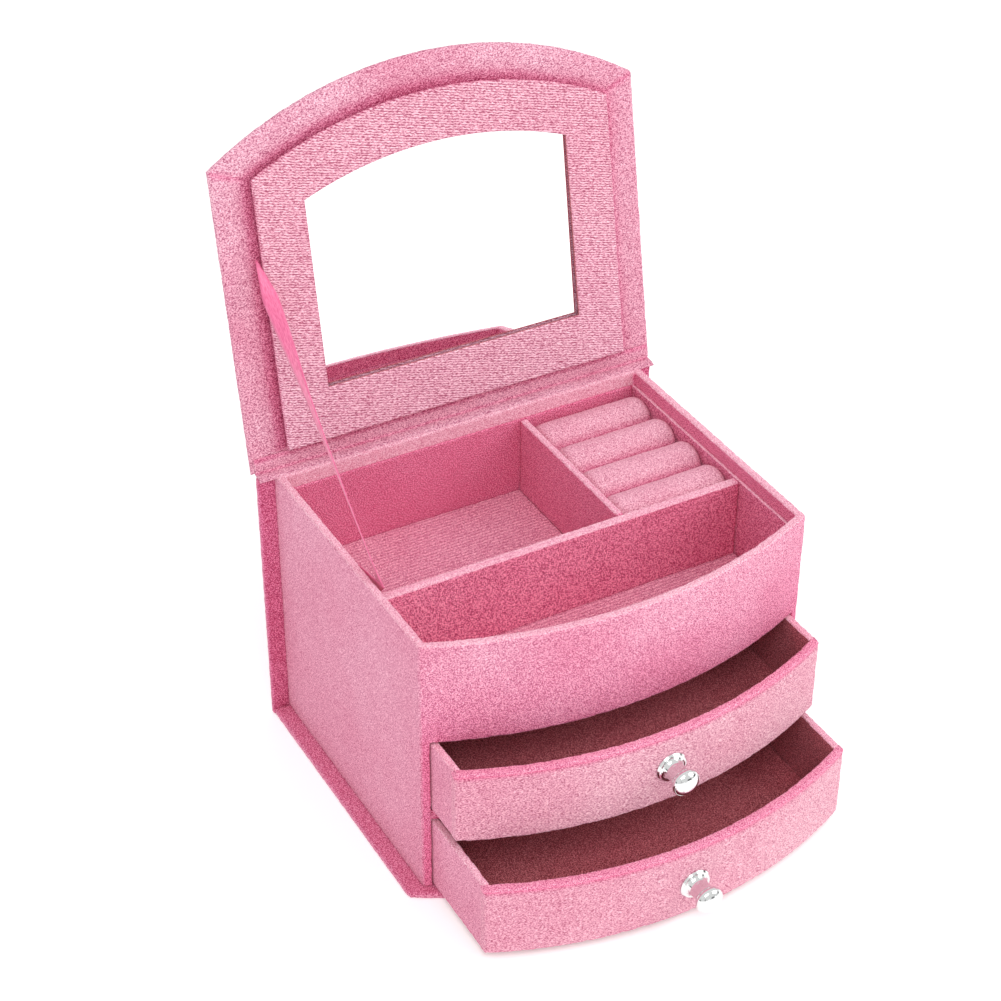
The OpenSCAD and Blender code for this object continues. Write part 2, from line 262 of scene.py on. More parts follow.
def velvet(name, tones, grain=(2600, 2600, 2600), turn=0.0, contrast=1.0, nap=0.05, weave=None, ribs=None,
           rows=None, drift=None):
    """Short-pile velvet. tones are the gaps, the body and the tips of the pile; grain is how many tufts
    there are per metre along each axis, and nap how far brushed patches differ. weave adds the longer dark
    strokes of the backing, in strokes per metre, rows its broken rows and ribs the ribs of the lining, each
    by its pitch. drift is (axis, from, to, colour at from, colour at to): a colour gradient across the
    board, which on the lid and the drawer fronts is painted light."""
    dark, mid, light = tones
    material, tree, shader = new_material(name)
    n = Nodes(tree)
    pile = n.noise(grain, 1.5, 0.5)
    tone = pile
    if weave:
        strokes = n.noise(weave, 1.0, 0.4, turn)
        tone = n.math("ADD", n.math("MULTIPLY", pile, 0.35), n.math("MULTIPLY", strokes, 0.65))
    if rows:
        thread = n.bands("Z", rows, 2.5, turn)
        tone = n.math("ADD", tone, n.math("MULTIPLY", n.math("SUBTRACT", thread, 0.5), ROW_WEIGHT))
    spread = 0.12 / contrast
    colour = n.ramp(tone, [(0.5 - spread, dark), (0.5, mid), (0.5 + spread, light)])
    brushed = n.noise((24, 24, 24), 2.5, 0.55)
    deeper = tuple(1 - nap * k for k in (0.6, 2.2, 1.6))
    paler = tuple(1 + nap * k for k in (0.3, 1.2, 0.9))
    colour = n.mix("MULTIPLY", 1.0, colour, n.ramp(brushed, [(0.32, deeper), (0.68, paler)]))
    if drift:
        axis, start, end, first, last = drift
        place = tree.nodes.new("ShaderNodeSeparateXYZ")
        n.link(n.coords, place.inputs["Vector"])
        along = n.math("DIVIDE", n.math("SUBTRACT", place.outputs[axis], start), end - start)
        along = n.math("ADD", along, n.math("MULTIPLY", n.math("SUBTRACT", brushed, 0.5), 0.9))
        colour = n.mix("MULTIPLY", 1.0, colour, n.ramp(along, [(0.0, first), (1.0, last)]))
    # Painted shade: the stored attribute deepens the colour towards deep pink in creases, folds and corners,
    # broken up by the pile's grain.
    fold = tree.nodes.new("ShaderNodeAttribute")
    fold.attribute_name = PAINTED_SHADE_ATTRIBUTE
    painted_shade_grain = n.math("MULTIPLY", n.math("SUBTRACT", tone, 0.5), n.math("MULTIPLY", fold.outputs["Fac"], 2.2))
    depth = n.math("SUBTRACT", fold.outputs["Fac"], painted_shade_grain)
    colour = n.mix("MULTIPLY", 1.0, colour, n.ramp(depth, PAINTED_SHADE_RAMP))
    height = tone
    if ribs:
        wave = n.bands("Y", ribs, 0.6)
        line = n.ramp(wave, [(0.0, (0.84, 0.62, 0.72)), (0.6, (1.04, 1.08, 1.06))])
        colour = n.mix("MULTIPLY", 0.9, colour, line)
        height = n.math("ADD", tone, n.math("MULTIPLY", wave, 0.3))
    n.link(colour, shader.inputs["Base Color"])
    n.bump(height, 0.6, PILE_HEIGHT, shader)
    shader.inputs["Roughness"].default_value = 0.95
    shader.inputs["Specular IOR Level"].default_value = 0.15
    shader.inputs["Sheen Weight"].default_value = 0.25
    shader.inputs["Sheen Roughness"].default_value = 0.45
    shader.inputs["Sheen Tint"].default_value = (*srgb(255, 205, 222), 1)
    return material


def satin(name):
    """Woven satin ribbon: a smooth pink with fine threads along its length."""
    material, tree, shader = new_material(name)
    n = Nodes(tree)
    threads = n.noise((4000, 500, 500), 2.0, 0.5)
    colour = n.ramp(threads, [(0.35, srgb(222, 92, 138)), (0.65, srgb(240, 124, 166))])
    n.link(colour, shader.inputs["Base Color"])
    n.bump(threads, 0.15, 0.05 * MM, shader)
    shader.inputs["Roughness"].default_value = 0.38
    shader.inputs["Sheen Weight"].default_value = 0.2
    return material


def chrome(name):
    """Polished plating with the faintest haze of handling."""
    material, tree, shader = new_material(name)
    n = Nodes(tree)
    haze = n.noise((160, 160, 160), 3.0, 0.6)
    n.link(n.ramp(haze, [(0.3, (0.08,) * 3), (0.8, (0.15,) * 3)]), shader.inputs["Roughness"])
    shader.inputs["Base Color"].default_value = (0.79, 0.80, 0.795, 1)
    shader.inputs["Metallic"].default_value = 1
    return material


def mirror_glass(name):
    material, tree, shader = new_material(name)
    n = Nodes(tree)
    smear = n.noise((35, 90, 35), 2.0, 0.5)
    n.link(n.ramp(smear, [(0.4, (0.008,) * 3), (0.8, (0.02,) * 3)]), shader.inputs["Roughness"])
    shader.inputs["Base Color"].default_value = (0.96, 0.965, 0.97, 1)
    shader.inputs["Metallic"].default_value = 1
    return material


def tones(*colours):
    return [srgb(*c) for c in colours]


FRONT_TONES = tones((172, 74, 110), (225, 139, 168), (250, 190, 210))
# Lighter copy of the velvet for upward tops: painted light.
RIM_LIT_TONES = tones((200, 116, 142), (236, 168, 188), (253, 214, 226))
TURNED_TONES = tones((190, 84, 122), (228, 134, 165), (252, 184, 206))
SIDE_TONES = tones((186, 96, 126), (218, 141, 167), (244, 184, 204))
LID_TONES = tones((158, 70, 98), (215, 146, 167), (246, 202, 214))
BORDER_TONES = tones((160, 76, 108), (218, 152, 173), (248, 200, 214))
DRAWER_TONES = tones((174, 88, 114), (221, 150, 171), (248, 198, 211))
ROLL_TONES = tones((168, 84, 110), (222, 155, 175), (250, 206, 218))
FLOOR_TONES = tones((172, 78, 110), (228, 142, 170), (254, 200, 216))
# Deeper copy of the velvet for inner faces: painted shade.
INSIDE_SHADED_TONES = tones((158, 42, 80), (222, 106, 144), (250, 166, 196))
# Deeper copy of the velvet for the cross divider: painted shade.
DIVIDER_SHADED_TONES = tones((160, 54, 88), (230, 122, 158), (254, 180, 204))
SHADE_TONES = tones((96, 34, 38), (188, 90, 100), (232, 140, 150))
WEAVE_TURN = 14.0  # angle at which the lid's cloth was cut, degrees


def make_materials():
    # The front and the side turn darker and deeper pink towards the bottom, the divider towards +X.
    front_drift = ("Z", 0.074, 0.112, (0.97, 0.80, 0.89), (1.0, 1.06, 1.03))
    drawer_painted_light = ("X", -0.07, 0.08, (0.98, 0.97, 0.98), (1.0, 1.16, 1.08))
    side_drift = ("Z", 0.0, 0.11, (0.97, 0.93, 0.94), (1.0, 1.01, 1.01))
    divider_drift = ("X", -0.02, 0.078, (1.05, 1.0, 1.02), (0.92, 0.72, 0.78))
    lid_painted_light = ("Z", 0.125, 0.2, (1.05, 1.14, 1.13), (1.0, 1.0, 1.0))
    return {
        "front": velvet("velvet_front", FRONT_TONES, contrast=0.9, nap=0.09, drift=front_drift),
        # The lighter copy for upward tops: painted light.
        "rim": velvet("velvet_rim_lit", RIM_LIT_TONES, contrast=0.8, nap=0.04),
        "side": velvet("velvet_side", SIDE_TONES, (2200, 2200, 2200), contrast=0.9, drift=side_drift),
        # Lighter towards the hinge: painted light to make up for the shade there.
        "lid": velvet("velvet_lid", LID_TONES, turn=WEAVE_TURN, weave=(950, 2000, 2900), rows=0.95 * MM,
                      contrast=0.8, nap=0.03, drift=lid_painted_light),
        "border": velvet("velvet_border", BORDER_TONES, weave=(1500, 2400, 2400), contrast=0.8, nap=0.1),
        # The deeper copy for inner faces: painted shade.
        "inside": velvet("velvet_inside_shaded", INSIDE_SHADED_TONES, (2900, 2900, 2400), contrast=0.9),
        # The deeper copy for the cross divider: painted shade.
        "divider": velvet("velvet_divider_shaded", DIVIDER_SHADED_TONES, (2900, 2900, 2400), contrast=0.9,
                          drift=divider_drift),
        "floor": velvet("velvet_floor", FLOOR_TONES, contrast=1.0, ribs=1.7 * MM),
        "rolls": velvet("velvet_rolls", ROLL_TONES, weave=(2400, 2400, 2400), contrast=0.75),
        "turned": velvet("velvet_turned_edge", TURNED_TONES, contrast=0.9),
        # Lighter towards +X: painted light from the right.
        "drawer_front": velvet("velvet_drawer_front", DRAWER_TONES, weave=(1500, 1500, 3000), contrast=0.85,
                               drift=drawer_painted_light),
        "drawer": velvet("velvet_drawer_inside", SHADE_TONES, contrast=0.8),
        "satin": satin("satin_ribbon"),
        "chrome": chrome("knob_chrome"),
        "steel": plain_material("screw_steel", (0.6, 0.6, 0.62), 0.35, 1.0),
        "mirror": mirror_glass("mirror_glass"),
        "foam": plain_material("mirror_foam", (0.05, 0.05, 0.05), 0.95),
    }


# ---------------------------------------------------------------- plans of boards


def lid_turn(angle):
    """Turns points about the lid's hinge by an angle in degrees."""
    hinge = JOINTS["lid_hinge"]
    place = Vector(hinge["pos_m"])
    return (
        Matrix.Translation(place)
        @ Matrix.Rotation(math.radians(angle), 4, Vector(hinge["axis"]))
        @ Matrix.Translation(-place)
    )


CLOSE_LID = lid_turn(JOINTS["lid_hinge"]["range_deg"][1])
OPEN_LID = CLOSE_LID.inverted()


class Plan:
    """The plan of a bow-fronted board: half width, back, y of the front corners, apex, and its heights."""

    def __init__(self, node, turn=None):
        points = [v.co if turn is None else turn @ v.co for v in NODES[node].data.vertices]
        xyz = np.array(points)
        self.half = np.abs(xyz[:, 0]).max()
        self.back = xyz[:, 1].max()
        self.apex = xyz[:, 1].min()
        edge = xyz[np.abs(xyz[:, 0]) > self.half - 0.01 * MM]
        self.corner = edge[:, 1].min()
        self.low, self.high = xyz[:, 2].min(), xyz[:, 2].max()

    def bow_radius(self):
        bow = self.corner - self.apex
        return (self.half**2 + bow**2) / (2 * bow)

    def front(self, x, inset=0.0):
        """y of the bowed front at x, or of a line that far inside it."""
        radius = self.bow_radius()
        return self.apex + radius - math.sqrt((radius - inset) ** 2 - x * x)

    def grown(self, by):
        """The same plan, larger by that much on every side."""
        other = object.__new__(Plan)
        other.__dict__.update(self.__dict__)
        other.half += by
        other.back += by
        other.corner -= by
        other.apex -= by
        return other

    def outline(self, step=STEP):
        """Points round the plan, with the same number of stations on any plan of similar size."""
        side = max(2, round((self.back - self.corner) / step))
        width = max(2, round(2 * self.half / step))
        return self.stations(side, width)

    def stations(self, side, width):
        depth = self.back - self.corner
        left = [(-self.half, self.back - depth * i / side) for i in range(side)]
        front = [(x, self.front(x)) for x in np.linspace(-self.half, self.half, width + 1)[:-1]]
        right = [(self.half, self.corner + depth * i / side) for i in range(side)]
        back = [(x, self.back) for x in np.linspace(self.half, -self.half, width + 1)[:-1]]
        return left + front + right + back


def fade(value, start, end):
    """1 up to start, falling smoothly to 0 at end."""
    t = max(0.0, min(1.0, (value - start) / (end - start)))
    return 1 - t * t * (3 - 2 * t)


def spaced(low, high, step=LEVEL):
    return list(np.linspace(low, high, max(2, math.ceil((high - low) / step) + 1)))


def cells_solid(points, cells, levels):
    """A closed solid of upright cells. points are (x, y), and a cell is its ring of point numbers, its first
    level and its last."""
    bm = bmesh.new()
    made = {}

    def vertex(point, level):
        key = (point, level)
        if key not in made:
            made[key] = bm.verts.new((*points[point], levels[level]))
        return made[key]

    walls = {}
    for ring, first, last in cells:
        bm.faces.new([vertex(p, last) for p in ring])
        bm.faces.new([vertex(p, first) for p in reversed(ring)])
        for level in range(first, last):
            for a, b in zip(ring, ring[1:] + ring[:1]):
                walls.setdefault((frozenset((a, b)), level), []).append((a, b))
    for (_, level), uses in walls.items():
        if len(uses) == 1:
            a, b = uses[0]
            bm.faces.new([vertex(a, level), vertex(b, level), vertex(b, level + 1), vertex(a, level + 1)])
    bmesh.ops.recalc_face_normals(bm, faces=bm.faces)
    return bm


def prism(outline, levels):
    return cells_solid(outline, [(list(range(len(outline))), 0, len(levels) - 1)], levels)


def rectangle(x0, x1, y0, y1, step=STEP):
    across, along = max(1, round((x1 - x0) / step)), max(1, round((y1 - y0) / step))
    xs, ys = np.linspace(x0, x1, across + 1), np.linspace(y0, y1, along + 1)
    return (
        [(x, y0) for x in xs[:-1]] + [(x1, y) for y in ys[:-1]]
        + [(x, y1) for x in xs[:0:-1]] + [(x0, y) for y in ys[:0:-1]]
    )


def band(plan, thickness, half, levels):
    """A bowed board between the plan's front and a line that thickness inside it."""
    xs = np.linspace(-half, half, max(2, round(2 * half / STEP)) + 1)
    outer = [(x, plan.front(x)) for x in xs]
    inner = [(x, plan.front(x, thickness)) for x in xs]
    count = len(xs)
    cells = [([i, i + 1, count + i + 1, count + i], 0, len(levels) - 1) for i in range(count - 1)]
    return cells_solid(outer + inner, cells, levels)


# ---------------------------------------------------------------- covered boards


SHARP = 0.6  # radians between two faces from which their edge is one to turn the cloth over


def round_edges(bm, radius, segments=4):
    """Turns the cloth over every sharp edge, a little unevenly."""
    bm.normal_update()
    sharp = [e for e in bm.edges if len(e.link_faces) == 2 and e.calc_face_angle() > SHARP]
    done = bmesh.ops.bevel(
        bm, geom=sharp, offset=radius, segments=segments, profile=0.5, affect="EDGES", clamp_overlap=True
    )
    rounded = set(done["faces"])
    bm.normal_update()
    for v in bm.verts:
        if all(f in rounded for f in v.link_faces):
            wobble = noise.noise(v.co / (0.8 * MM)) + 0.5 * noise.noise(v.co / (4 * MM))
            v.co += v.normal * min(FUZZ * wobble, PROUD)


def add_object(name, bm):
    mesh = bpy.data.meshes.new(name)
    bm.to_mesh(mesh)
    bm.free()
    piece = bpy.data.objects.new(name, mesh)
    bpy.context.scene.collection.objects.link(piece)
    for polygon in mesh.polygons:
        polygon.use_smooth = True
    return piece


def store_painted_shade(piece, depths):
    """Stores how far each point is darkened by painted shade."""
    layer = piece.data.attributes.new(PAINTED_SHADE_ATTRIBUTE, "FLOAT", "POINT")
    layer.data.foreach_set("value", np.ravel(depths))


def paint_shade(piece, depth):
    """Stores how far each point is darkened, from depth(place): painted shade in creases, folds and corners.
    """
    store_painted_shade(piece, [max(0.0, min(1.0, depth(v.co))) for v in piece.data.vertices])


def flatten_shading(piece):
    """Keeps broad faces flat-shaded and lets only the turned edges curve."""
    modifier = piece.modifiers.new("even_faces", "WEIGHTED_NORMAL")
    modifier.weight = 100


def attach(piece, body, replaced=()):
    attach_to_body(piece, body)
    if replaced:
        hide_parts(*replaced)
    return piece


def covered(name, bm, materials, body, replaced, radius=EDGE_R, choose=None, depth=None):
    """A board covered in velvet: rounded edges, one or more materials picked by choose(face), and painted
    shade in its creases, folds and corners by depth(place)."""
    round_edges(bm, radius)
    if choose:
        for face in bm.faces:
            face.material_index = choose(face)
    piece = add_object(name, bm)
    for material in materials:
        piece.data.materials.append(material)
    if depth:
        paint_shade(piece, depth)
    flatten_shading(piece)
    return attach(piece, body, replaced)


# ---------------------------------------------------------------- the chest's boards

BASE = Plan("base_board")
LEFT_LO, LEFT_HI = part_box("left_wall")
FRONT = Plan("front_panel")
REAR_LO, REAR_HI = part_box("rear_wall")
HALF_W, INNER_W = -LEFT_LO.x, -LEFT_HI.x
BACK, INNER_BACK = REAR_HI.y, REAR_LO.y
RIM, BODY_LOW, PANEL_LOW = LEFT_HI.z, LEFT_LO.z, FRONT.low
WALL_T = HALF_W - INNER_W
LINER_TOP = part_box("rear_liner")[1].z


def body_plan():
    """The plan of the whole body, whose front passes through the front panel's ends and apex."""
    plan = Plan("front_panel")
    plan.back = BACK
    radius = plan.bow_radius()
    plan.half = HALF_W
    plan.corner = plan.apex + radius - math.sqrt(radius**2 - HALF_W**2)
    return plan


BODY = body_plan()


def body_shell(m):
    """Side walls, rear wall and front panel under one cover: a ring above, open at the front below."""
    levels = spaced(BODY_LOW, PANEL_LOW) + spaced(PANEL_LOW, RIM)[1:]
    split, top = len(spaced(BODY_LOW, PANEL_LOW)) - 1, len(levels) - 1
    points, cells = [], []

    def section(outer, inner):
        points.extend([outer, inner])
        return len(points) - 2

    def join(a, b, first):
        cells.append(([a, b, b + 1, a + 1], first, top))

    xs = np.linspace(-INNER_W, INNER_W, round(2 * INNER_W / STEP) + 1)
    front = [section((x, BODY.front(x)), (x, BODY.front(x, WALL_T))) for x in xs]
    for a, b in zip(front, front[1:]):
        join(a, b, split)
    inner_corner = BODY.front(INNER_W, WALL_T)
    ys = np.linspace(inner_corner, INNER_BACK, round((INNER_BACK - inner_corner) / STEP) + 1)
    for side, start in ((1, front[-1]), (-1, front[0])):
        wall = []
        for i, y in enumerate(ys):
            if i == 0:
                points.append((side * HALF_W, y))
                wall.append((len(points) - 1, start + 1))
            else:
                s = section((side * HALF_W, y), (side * INNER_W, y))
                wall.append((s, s + 1))
        points.append((side * HALF_W, BODY.corner))
        cells.append(([start, len(points) - 1, wall[0][0], start + 1], 0, top))
        for a, b in zip(wall, wall[1:]):
            cells.append(([a[0], b[0], b[1], a[1]], 0, top))
        points.extend([(side * HALF_W, BACK), (side * INNER_W, BACK)])
        corner = len(points) - 1
        cells.append(([wall[-1][0], corner - 1, corner, wall[-1][1]], 0, top))
        if side == 1:
            right_back = (corner, wall[-1][1])
        else:
            left_back = (corner, wall[-1][1])
    rear = [right_back]
    for x in np.linspace(INNER_W, -INNER_W, round(2 * INNER_W / STEP) + 1)[1:-1]:
        s = section((x, BACK), (x, INNER_BACK))
        rear.append((s, s + 1))
    rear.append(left_back)
    for a, b in zip(rear, rear[1:]):
        cells.append(([a[0], b[0], b[1], a[1]], 0, top))
    bm = cells_solid(points, cells, levels)

    # Material 3, the lighter rim velvet, is painted light on the upward tops and on the rear wall's inner
    # strip above the liner; material 2, the deeper inside velvet, is painted shade on the inner faces.
    def choose(face):
        middle, normal = face.calc_center_median(), face.normal
        if normal.z > 0.5:
            return 3
        if abs(middle.x) > HALF_W - 0.6 * MM or middle.y > BACK - 0.6 * MM:
            return 1
        if middle.y > INNER_BACK - 0.5 * MM and middle.z > LINER_TOP:
            return 3
        if middle.y < BODY.front(middle.x) + 1.2 * MM:
            return 0
        return 2

    # Painted shade in the tray's inner corners below the rim. The front is also darker along its lowest 6 mm.
    def depth(place):
        inside_back = min(INNER_BACK - place.y, INNER_W - abs(place.x))
        if place.z < RIM - 1.5 * MM and -0.2 * MM < inside_back < 1.2 * MM and place.y < INNER_BACK:
            across = max(INNER_BACK - place.y, INNER_W - abs(place.x))
            return 0.8 * fade(across, 0.0, 1.8 * MM)
        if place.y < BODY.front(max(-HALF_W, min(HALF_W, place.x))) + 0.5 * MM:
            return 0.22 * fade(place.z - PANEL_LOW, 0.0, 6 * MM)
        return 0.0

    return covered(
        "body_cover", bm, [m["front"], m["side"], m["inside"], m["rim"]], "chest",
        ["left_wall", "right_wall", "rear_wall", "front_panel"], choose=choose, depth=depth,
    )


def base_and_back(m):
    # Painted shadow along the base's upper edge, where the body stands on it.
    covered(
        "base_cover", prism(BASE.outline(), spaced(BASE.low, BASE.high)), [m["side"]], "chest",
        ["base_board"], radius=1.0 * MM,
        depth=lambda p: 0.45 * fade(BASE.high - p.z, 0.0, 1.8 * MM),
    )
    # Painted shadow on the back board, deepest beside the body.
    lo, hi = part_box("back_board")
    covered(
        "back_cover", prism(rectangle(lo.x, hi.x, lo.y, hi.y), spaced(lo.z, hi.z)), [m["side"]], "chest",
        ["back_board"], radius=0.8 * MM,
        depth=lambda p: 0.75 * fade(p.y - lo.y, 0.0, 0.9 * (hi.y - lo.y)),
    )


def block_cover(node, material, radius, body="chest", rim=None):
    """A straight board, cushion base or pad, from its CAD box. rim is the material of its upper edge."""
    lo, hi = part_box(node)
    bm = prism(rectangle(lo.x, hi.x, lo.y, hi.y), spaced(lo.z, hi.z))
    # Upward faces take the rim material, which for most boards is the lighter rim velvet: painted light on
    # their tops.
    choose = (lambda face: int(face.normal.z > 0.5)) if rim else None
    materials = [material, rim] if rim else [material]

    def depth(place):
        """Painted shade along the upright ends and the foot of a board that stands in the tray or in a
        drawer.
        """
        k = 0 if hi.x - lo.x > hi.y - lo.y else 1
        ends = min(place[k] - lo[k], hi[k] - place[k])
        return max(0.7 * fade(ends, 0.0, 1.6 * MM), 0.6 * fade(place.z - lo.z, 0.0, 1.8 * MM))

    return covered(
        f"{node}_cover", bm, materials, body, [node], radius=radius, choose=choose,
        depth=depth if rim else None,
    )


def tray_parts(m):
    for node, rim in (("left_liner", "rim"), ("right_liner", "rim"), ("rear_liner", "inside")):
        block_cover(node, m["inside"], 0.4 * MM, rim=m[rim])
    lo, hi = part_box("front_liner")
    liner = Plan("front_liner")
    covered(
        "front_liner_cover", band(liner, 1.2 * MM, liner.half, spaced(lo.z, hi.z)), [m["inside"]], "chest",
        ["front_liner"], radius=0.4 * MM,
    )
    block_cover("cross_divider", m["divider"], 1.2 * MM, rim=m["rim"])
    block_cover("side_divider", m["inside"], 1.1 * MM, rim=m["rim"])
    block_cover("left_tray_lining", m["floor"], 0.5 * MM)
    pad = Plan("front_tray_lining")
    covered(
        "front_tray_lining_cover", prism(pad.outline(), spaced(pad.low, pad.high)), [m["floor"]], "chest",
        ["front_tray_lining"], radius=0.5 * MM,
    )
    block_cover("ring_cushion_base", m["rolls"], 1.0 * MM)


def loops_mesh(loops, ring=False):
    """Closed mesh through loops of points with equal counts, capped at both ends or joined end to end."""
    bm = bmesh.new()
    rows = [[bm.verts.new(p) for p in loop] for loop in loops]
    pairs = list(zip(rows, rows[1:] + ([rows[0]] if ring else [])))
    for a, b in pairs:
        for i in range(len(a)):
            j = (i + 1) % len(a)
            bm.faces.new([a[i], a[j], b[j], b[i]])
    if not ring:
        bm.faces.new(rows[0])
        bm.faces.new(rows[-1])
    bmesh.ops.recalc_face_normals(bm, faces=bm.faces)
    return bm


def ring_rolls(m):
    """Four stuffed rolls: crowned tubes with tucked, rounded ends and a soft unevenness of the filling."""
    around, tuck = 96, 4.2 * MM
    for i in range(1, 5):
        lo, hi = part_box(f"ring_roll_{i}")
        length, radius = hi.x - lo.x, (hi.z - lo.z) / 2
        middle = (lo + hi) / 2
        angles = [math.radians(a) for a in range(0, 91, 10)]
        end = -length / 2
        turned = [(end + tuck * (1 - math.sin(a)), radius - tuck * (1 - math.cos(a))) for a in angles]
        left = [(end, 0.35 * (radius - tuck)), (end, 0.8 * (radius - tuck))] + sorted(turned)
        straight = [(x, radius) for x in np.linspace(-length / 2 + tuck, length / 2 - tuck, 46)[1:-1]]
        loops = []
        for x, r in left + straight + [(-x, r) for x, r in reversed(left)]:
            loop = []
            for k in range(around):
                angle = 2 * math.pi * k / around
                out = Vector((0, math.cos(angle), math.sin(angle)))
                place = Vector((middle.x + x, middle.y, middle.z)) + out * r
                soft = 0.22 * MM * noise.noise(place / (9 * MM)) + 0.05 * MM * noise.noise(place / (1.2 * MM))
                loop.append(place + out * min(soft, 0.12 * MM) * r / radius)
            loops.append(loop)
        piece = add_object(f"ring_roll_{i}_cushion", loops_mesh(loops))
        piece.data.materials.append(m["rolls"])
        # Painted shade on the lower part of each roll, fading out towards its top.
        paint_shade(piece, lambda p: 0.8 * fade(p.z - middle.z, 0.15 * radius, 0.75 * radius))
        attach(piece, "chest", [f"ring_roll_{i}"])


# ---------------------------------------------------------------- lid


def at_height(outline, z):
    return [(x, y, z) for x, y in outline]


def between(a, b, t):
    return [(p[0] + (q[0] - p[0]) * t, p[1] + (q[1] - p[1]) * t) for p, q in zip(a, b)]


def quarter(radius, segments=6):
    """(in, up) steps round a quarter circle, from its side to its top."""
    turns = [math.pi / 2 * k / segments for k in range(segments + 1)]
    return [(radius * (1 - math.cos(a)), radius * math.sin(a)) for a in turns]


PANEL_INSET = 0.5 * MM  # how far the cloth of the raised panel's edge lies in from its board's edge
UNDERCUT = 2.4 * MM  # how far the raised panel's foot lies in from its face
LID_SIDE, LID_WIDTH = 150, 190  # stations along each side and along the bowed edge of the lid


def lid_outline(plan, by=0.0):
    return plan.grown(by).stations(LID_SIDE, LID_WIDTH)


def roughen(loops, amount, first=0, last=None):
    """Moves the points of some loops a little, as pile does."""
    for loop in loops[first:last]:
        for i, p in enumerate(loop):
            v = Vector(p)
            shift = noise.noise_vector(v / (0.8 * MM)) + 0.5 * noise.noise_vector(v / (4 * MM))
            loop[i] = tuple(v + shift * amount)


HINGE_SIDE = 2 * LID_SIDE + LID_WIDTH  # first station along the hinge side of the lid


def undercut(panel, inset):
    """The raised panel's outline drawn in by inset, except along the hinge, where it stays full."""
    outline = lid_outline(panel, -inset)
    return [(x, panel.back - PANEL_INSET) if i >= HINGE_SIDE else (x, y) for i, (x, y) in enumerate(outline)]


def lid_cover(m, board, panel):
    """The lid board in its cloth: rounded edges, and a border that dips into a crease round the raised panel,
    with a fold at each upper corner."""
    radius, inner, outer = 1.25 * MM, board.low, board.high
    loops = [at_height(lid_outline(board, -6 * MM), outer - 0.02 * MM)]
    loops += [at_height(lid_outline(board, -d), outer - radius + up) for d, up in reversed(quarter(radius))]
    loops += [at_height(lid_outline(board, -d), inner + radius - up) for d, up in quarter(radius)]
    rounded = len(loops)
    edge, foot = lid_outline(board, -radius), undercut(panel, UNDERCUT)
    puffs = [0.02, 0.05, 0.06, 0.05, 0.03, 0.0, -0.03, -0.06, -0.09, -0.12, -0.16, -0.2]
    for t, puff in zip(np.linspace(0, 1, len(puffs) + 1)[1:], puffs):
        loops.append(at_height(between(edge, foot, t), inner - puff * MM))
    roughen(loops, 0.2 * MM, 1, rounded)
    roughen(loops, 0.05 * MM, rounded)
    folds = [LID_SIDE, LID_SIDE + LID_WIDTH]
    for loop in loops[rounded - 2:]:
        for corner in folds:
            for k, dip in ((-2, 0.1), (-1, 0.3), (0, 0.55), (1, 0.3), (2, 0.1)):
                x, y, z = loop[corner + k]
                loop[corner + k] = (x, y, z + dip * MM)
    loops.append(at_height(lid_outline(panel, -4 * MM), inner + 0.5 * MM))
    count = len(loops[0])
    bm = loops_mesh(loops)
    bm.transform(OPEN_LID)
    piece = add_object("lid_cover", bm)
    # Painted shade: the border deepens towards deep pink where it runs under the raised panel's overhang, and
    # in the fold at each upper corner; less along the hinge side.
    depths = np.zeros((len(loops), count))
    for ring in range(rounded, len(loops)):
        t = min(1.0, (ring - rounded + 1) / len(puffs))
        depths[ring, :] = np.interp(t, (0.4, 0.58, 0.7, 0.85, 1), (0, 0.15, 0.42, 0.8, 0.95))
    depths[:, HINGE_SIDE:] *= 0.4
    for ring in range(rounded - 3, len(loops)):
        for corner in folds:
            for k in (-2, -1, 0, 1, 2):
                depths[ring, corner + k] = max(depths[ring, corner + k], 0.5 - 0.17 * abs(k))
    store_painted_shade(piece, depths)
    piece.data.materials.append(m["border"])
    flatten_shading(piece)
    attach(piece, "lid", ["lid_board"])


